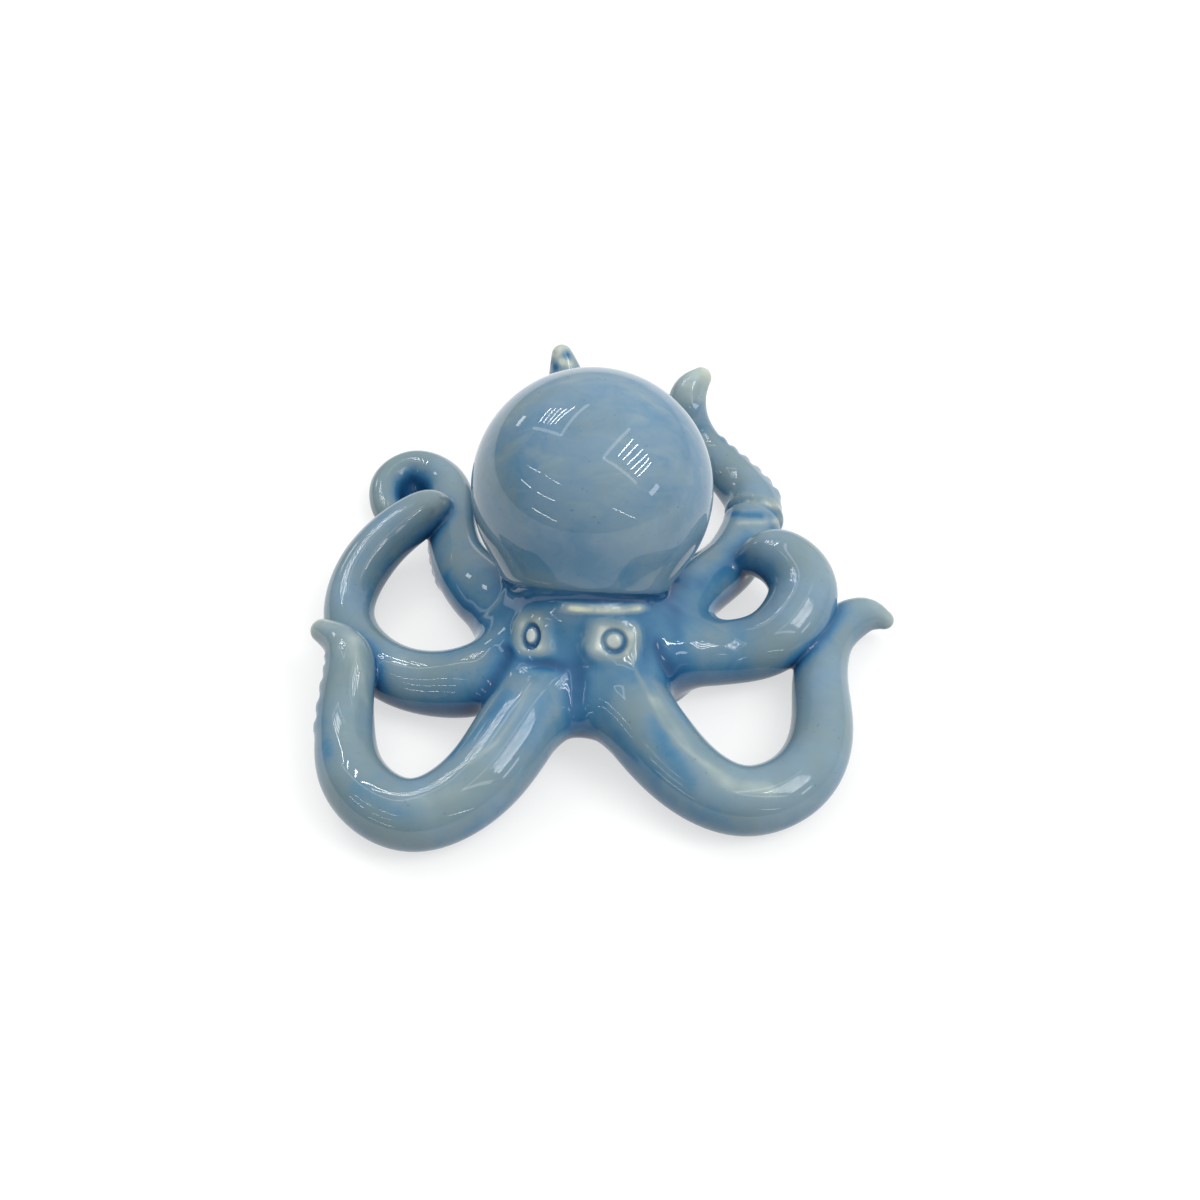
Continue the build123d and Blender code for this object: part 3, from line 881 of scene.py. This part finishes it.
def node(tree, kind, settings=None, **links):
    """Adds a node with its settings, and links or sets its inputs by name or number."""
    made = tree.nodes.new(kind)
    for key, value in (settings or {}).items():
        setattr(made, key, value)
    for key, value in links.items():
        numbered = key[0] == "i" and key[1:].isdigit()
        socket = made.inputs[int(key[1:]) if numbered else key.replace("_", " ")]
        if isinstance(value, bpy.types.NodeSocket):
            tree.links.new(value, socket)
        else:
            socket.default_value = value
    return made


adding = {"operation": "ADD"}
scaling = {"operation": "MULTIPLY_ADD"}


def glazed_stoneware(name, thin):
    """Blue celadon glaze on white stoneware: cobalt where it pools, pale where it thins, with the
    painted shade and painted highlights of the lay.
    """
    material = bpy.data.materials.new(name)
    material.use_nodes = True
    tree = material.node_tree
    tree.nodes.clear()
    where = node(tree, "ShaderNodeTexCoord").outputs["Object"]
    height = node(tree, "ShaderNodeSeparateXYZ", i0=where).outputs["Z"]
    # The glaze lay, painted shade and painted highlights included
    lain_with_painted_light = node(tree, "ShaderNodeAttribute", {"attribute_name": "glaze_lay_with_painted_light"}).outputs["Fac"]
    # The dip lay unevenly: drifts about 30 mm across and streaks of 8 mm
    drifts = node(tree, "ShaderNodeTexNoise", Vector=where, Scale=33.0, Detail=3.0,
                  Roughness=0.5, Distortion=0.6)
    drift = node(tree, "ShaderNodeMath", scaling, i0=drifts.outputs["Fac"], i1=0.3, i2=-0.15)
    streaks = node(tree, "ShaderNodeTexNoise", Vector=where, Scale=125.0, Detail=3.0,
                   Roughness=0.5, Distortion=1.2)
    streak = node(tree, "ShaderNodeMath", scaling, i0=streaks.outputs["Fac"], i1=0.12, i2=-0.06)
    # The brush left paler laps along the crown, 30 mm long and 8 mm wide
    crown = node(tree, "ShaderNodeMapRange", i0=height, i1=0.055, i2=0.085, i3=0.0, i4=-0.09)
    brushed = node(tree, "ShaderNodeMapping", Vector=where, Scale=(30.0, 120.0, 120.0))
    laps = node(tree, "ShaderNodeTexNoise", Vector=brushed.outputs[0], Scale=1.0, Detail=3.0,
                Roughness=0.6, Distortion=0.8)
    lap = node(tree, "ShaderNodeMapRange", i0=laps.outputs["Fac"], i1=0.48, i2=0.68, i3=0.0,
               i4=crown.outputs[0])
    patches = node(tree, "ShaderNodeMath", adding, i0=drift.outputs[0], i1=streak.outputs[0])
    uneven = node(tree, "ShaderNodeMath", adding, i0=patches.outputs[0], i1=lap.outputs[0])
    lay_with_painted_light = node(tree, "ShaderNodeMath", adding, i0=uneven.outputs[0], i1=lain_with_painted_light)
    thickness_with_painted_light = node(tree, "ShaderNodeMapRange", i0=lay_with_painted_light.outputs[0], i1=-0.4, i2=0.4, i3=0.0, i4=1.0)
    ramp = node(tree, "ShaderNodeValToRGB", Fac=thickness_with_painted_light.outputs[0])
    while len(ramp.color_ramp.elements) > 1:
        ramp.color_ramp.elements.remove(ramp.color_ramp.elements[0])
    tones = [
        (0.02, thin), (0.16, "#A3B4B5"), (0.32, "#829BA8"), (0.44, "#7191A8"), (0.54, "#5183A3"),
        (0.66, "#3D759B"), (0.8, "#2B648F"), (0.95, "#1D517C"),
    ]
    for i, (share, code) in enumerate(tones):
        stop = ramp.color_ramp.elements.new(share) if i else ramp.color_ramp.elements[0]
        stop.position = share
        stop.color = linear(code)
    # Grey-green clouds about 20 mm across, where the kiln air reached; fewer up on the mantle
    clouds = node(tree, "ShaderNodeTexNoise", Vector=where, Scale=50.0, Detail=3.0, Roughness=0.5)
    low_down = node(tree, "ShaderNodeMapRange", i0=height, i1=0.02, i2=0.06, i3=0.14, i4=-0.06)
    greyness = node(tree, "ShaderNodeMath", adding, i0=clouds.outputs["Fac"],
                    i1=low_down.outputs[0])
    thin_side = node(tree, "ShaderNodeMapRange", i0=thickness_with_painted_light.outputs[0], i1=0.45, i2=0.62,
                     i3=0.6, i4=0.0)
    greying = node(tree, "ShaderNodeMapRange", i0=greyness.outputs[0], i1=0.45, i2=0.72,
                   i3=0.0, i4=thin_side.outputs[0])
    clouded = node(tree, "ShaderNodeMixRGB", i0=greying.outputs[0], i1=ramp.outputs["Color"],
                   i2=linear("#778B8B"))
    # Iron specks and pinholes about 1 mm across
    specks = node(tree, "ShaderNodeTexNoise", Vector=where, Scale=700.0, Detail=1.0)
    dots = node(tree, "ShaderNodeMapRange", i0=specks.outputs["Fac"], i1=0.7, i2=0.8,
                i3=0.0, i4=0.3)
    spotted = node(tree, "ShaderNodeMixRGB", i0=dots.outputs[0], i1=clouded.outputs[0],
                   i2=linear("#2F4D6B"))
    # The glaze is wiped off the foot, which shows the bare cream stoneware
    bare = node(tree, "ShaderNodeMath", {"operation": "LESS_THAN"}, i0=height, i1=0.00035)
    colour = node(tree, "ShaderNodeMixRGB", i0=bare.outputs[0], i1=spotted.outputs[0],
                  i2=linear("#CFC4B0"))
    gloss = node(tree, "ShaderNodeMapRange", i0=bare.outputs[0], i1=0.0, i2=1.0, i3=0.03, i4=0.75)
    # The glaze skin dips and swells a few hundredths of a millimetre
    swell = node(tree, "ShaderNodeTexNoise", Vector=where, Scale=80.0, Detail=2.0)
    bump = node(tree, "ShaderNodeBump", Strength=0.06, Distance=0.0006, Height=swell.outputs["Fac"])
    shader = node(tree, "ShaderNodeBsdfPrincipled", Base_Color=colour.outputs[0],
                  Roughness=gloss.outputs[0], Normal=bump.outputs[0], IOR=1.5)
    node(tree, "ShaderNodeOutputMaterial", Surface=shader.outputs[0])
    return material


glaze = glazed_stoneware("celadon_glaze_on_stoneware", "#C4CDC0")
eye_glaze = glazed_stoneware("thin_glaze_on_eye_pads", "#DDE3DC")
brow_glaze = glazed_stoneware("thin_cream_glaze_on_brow_coil", "#E8EBCF")

slots = {"left_eye": "eye_glaze", "right_eye": "eye_glaze", "brow": "brow_glaze"}
skins = {"glaze": glaze, "eye_glaze": eye_glaze, "brow_glaze": brow_glaze}
for number, name in enumerate(owners):
    slot = slots.get(name, "glaze")
    piece = finished_piece(number, name)
    piece.data.materials.append(skins[slot])
    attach(piece, "root")
    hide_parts(name)


# Floor, lights and camera

def to_frame(point):
    return Vector(tuple((np.asarray(point, float) + table_middle) * MM))


floor_mesh = bpy.data.meshes.new("floor")
floor_mesh.from_pydata([(-6, -6, 0), (6, -6, 0), (6, 6, 0), (-6, 6, 0)], [], [(0, 1, 2, 3)])
floor = bpy.data.objects.new("floor", floor_mesh)
bpy.context.scene.collection.objects.link(floor)
paper = bpy.data.materials.new("white_paper_sweep")
paper.use_nodes = True
tree = paper.node_tree
tree.nodes.clear()
sheet = node(tree, "ShaderNodeBsdfDiffuse", Color=linear("#AFAFAD"))
paths = node(tree, "ShaderNodeLightPath")
seen = node(tree, "ShaderNodeMath", adding, i0=paths.outputs["Is Camera Ray"],
            i1=paths.outputs["Is Glossy Ray"])
seen = node(tree, "ShaderNodeMath", adding, i0=seen.outputs[0],
            i1=paths.outputs["Is Transmission Ray"])
white = node(tree, "ShaderNodeMath", {"operation": "MULTIPLY"}, i0=seen.outputs[0], i1=0.62)
shine = node(tree, "ShaderNodeEmission", Color=(1, 1, 1, 1), Strength=white.outputs[0])
both = node(tree, "ShaderNodeAddShader", i0=sheet.outputs[0], i1=shine.outputs[0])
node(tree, "ShaderNodeOutputMaterial", Surface=both.outputs[0])
floor_mesh.materials.append(paper)

# The air of a pale room: lighter above than along the walls
world = bpy.data.worlds.new("studio_air")
world.use_nodes = True
bpy.context.scene.world = world
tree = world.node_tree
tree.nodes.clear()
toward = node(tree, "ShaderNodeTexCoord").outputs["Generated"]
bright_side = node(tree, "ShaderNodeVectorMath", {"operation": "DOT_PRODUCT"}, i0=toward,
                   i1=(0.4, 0.25, 0.88))
lift = node(tree, "ShaderNodeMapRange", i0=bright_side.outputs["Value"], i1=-0.2, i2=0.95,
            i3=0.0, i4=1.0)
shade = node(tree, "ShaderNodeMixRGB", i0=lift.outputs[0], i1=linear("#727D86"),
             i2=linear("#FFFFFF"))
air = node(tree, "ShaderNodeBackground", Color=shade.outputs[0], Strength=1.0)
node(tree, "ShaderNodeOutputWorld", Surface=air.outputs[0])


def mirrored(across, down):
    """The place on the mantle's round seen at a point of the picture, and the way it mirrors."""
    ray = sight_line(across, down)
    start = look_at + look_back * look_far - mantle_centre
    along = float(ray @ start)
    inside = math.sqrt(along * along - float(start @ start) + mantle_radius ** 2)
    at = start - ray * (along + inside)
    out = at / mantle_radius
    return at + mantle_centre, ray - out * 2 * float(ray @ out)


far_off = 1300.0


def window_lamp(name, seen, wide, glow):
    """A lit strip of window, hung where the mantle mirrors it between two points of the picture."""
    (at_a, way_a), (at_b, way_b) = mirrored(*seen[:2]), mirrored(*seen[2:])
    a, b = at_a + way_a * far_off, at_b + way_b * far_off
    middle = (a + b) / 2
    out = middle - (at_a + at_b) / 2
    out /= np.linalg.norm(out)
    side = b - a
    long = float(np.linalg.norm(side))
    side -= out * (side @ out)
    side /= np.linalg.norm(side)
    light = bpy.data.lights.new(name, "AREA")
    light.shape = "RECTANGLE"
    light.size, light.size_y = long * MM, wide * MM
    light.energy = glow * math.pi * light.size * light.size_y
    made = bpy.data.objects.new(name, light)
    bpy.context.scene.collection.objects.link(made)
    made.location = to_frame(middle)
    made.rotation_mode = "QUATERNION"
    made.rotation_quaternion = Matrix((side, np.cross(out, side), out)).transposed().to_quaternion()


right_panes = [
    (633.0, 439.0, 618.0, 456.0), (638.2, 444.0, 623.0, 459.4), (643.0, 449.0, 627.4, 464.4),
    (647.4, 454.0, 631.0, 469.4), (649.4, 458.0, 635.0, 473.4), (651.0, 462.4, 638.2, 476.6),
]
left_panes = [
    (551.0, 408.0, 539.4, 422.4), (556.0, 408.0, 543.4, 423.0), (561.4, 408.0, 548.0, 423.6),
    (567.4, 408.4, 551.0, 424.0), (575.0, 407.0, 555.0, 424.0),
]
blinds = [
    (528.0, 466.0, 540.0, 472.4), (545.0, 475.0, 561.0, 485.0), (521.0, 479.0, 531.0, 488.0),
    (537.0, 492.0, 555.0, 501.0), (533.0, 508.0, 557.0, 521.4), (612.0, 508.0, 635.0, 518.0),
]
frames = [
    (630.0, 428.0, 603.0, 458.0), (603.0, 458.0, 637.0, 484.0), (533.0, 428.0, 561.0, 435.6),
    (561.0, 435.6, 589.0, 404.4),
]
far_panes = [(525.0, 416.0, 517.0, 426.0), (658.0, 485.0, 650.5, 494.5)]
lamps = [
    # name, strips, width in millimetres, glow
    ("right_pane", right_panes, 16, 32), ("left_pane", left_panes, 11, 34),
    ("blind", blinds, 8, 22), ("frame", frames, 60, 2.6), ("far_pane", far_panes, 100, 5),
]
for label, strips, wide, glow in lamps:
    for i, seen in enumerate(strips):
        window_lamp("%s_%d" % (label, i), seen, wide, glow)

sensor_wide = 36
back = Vector(tuple(look_back))
camera_data = bpy.data.cameras.new("camera")
camera_data.sensor_width = sensor_wide
camera_data.lens = sensor_wide * look_long / picture_wide
camera_data.clip_start = 0.01
camera = bpy.data.objects.new("camera", camera_data)
bpy.context.scene.collection.objects.link(camera)
camera.location = to_frame(look_at) + back * look_far * MM
camera.rotation_euler = (-back).to_track_quat("-Z", "Y").to_euler()
bpy.context.scene.camera = camera
bpy.context.scene.view_settings.view_transform = "Standard"
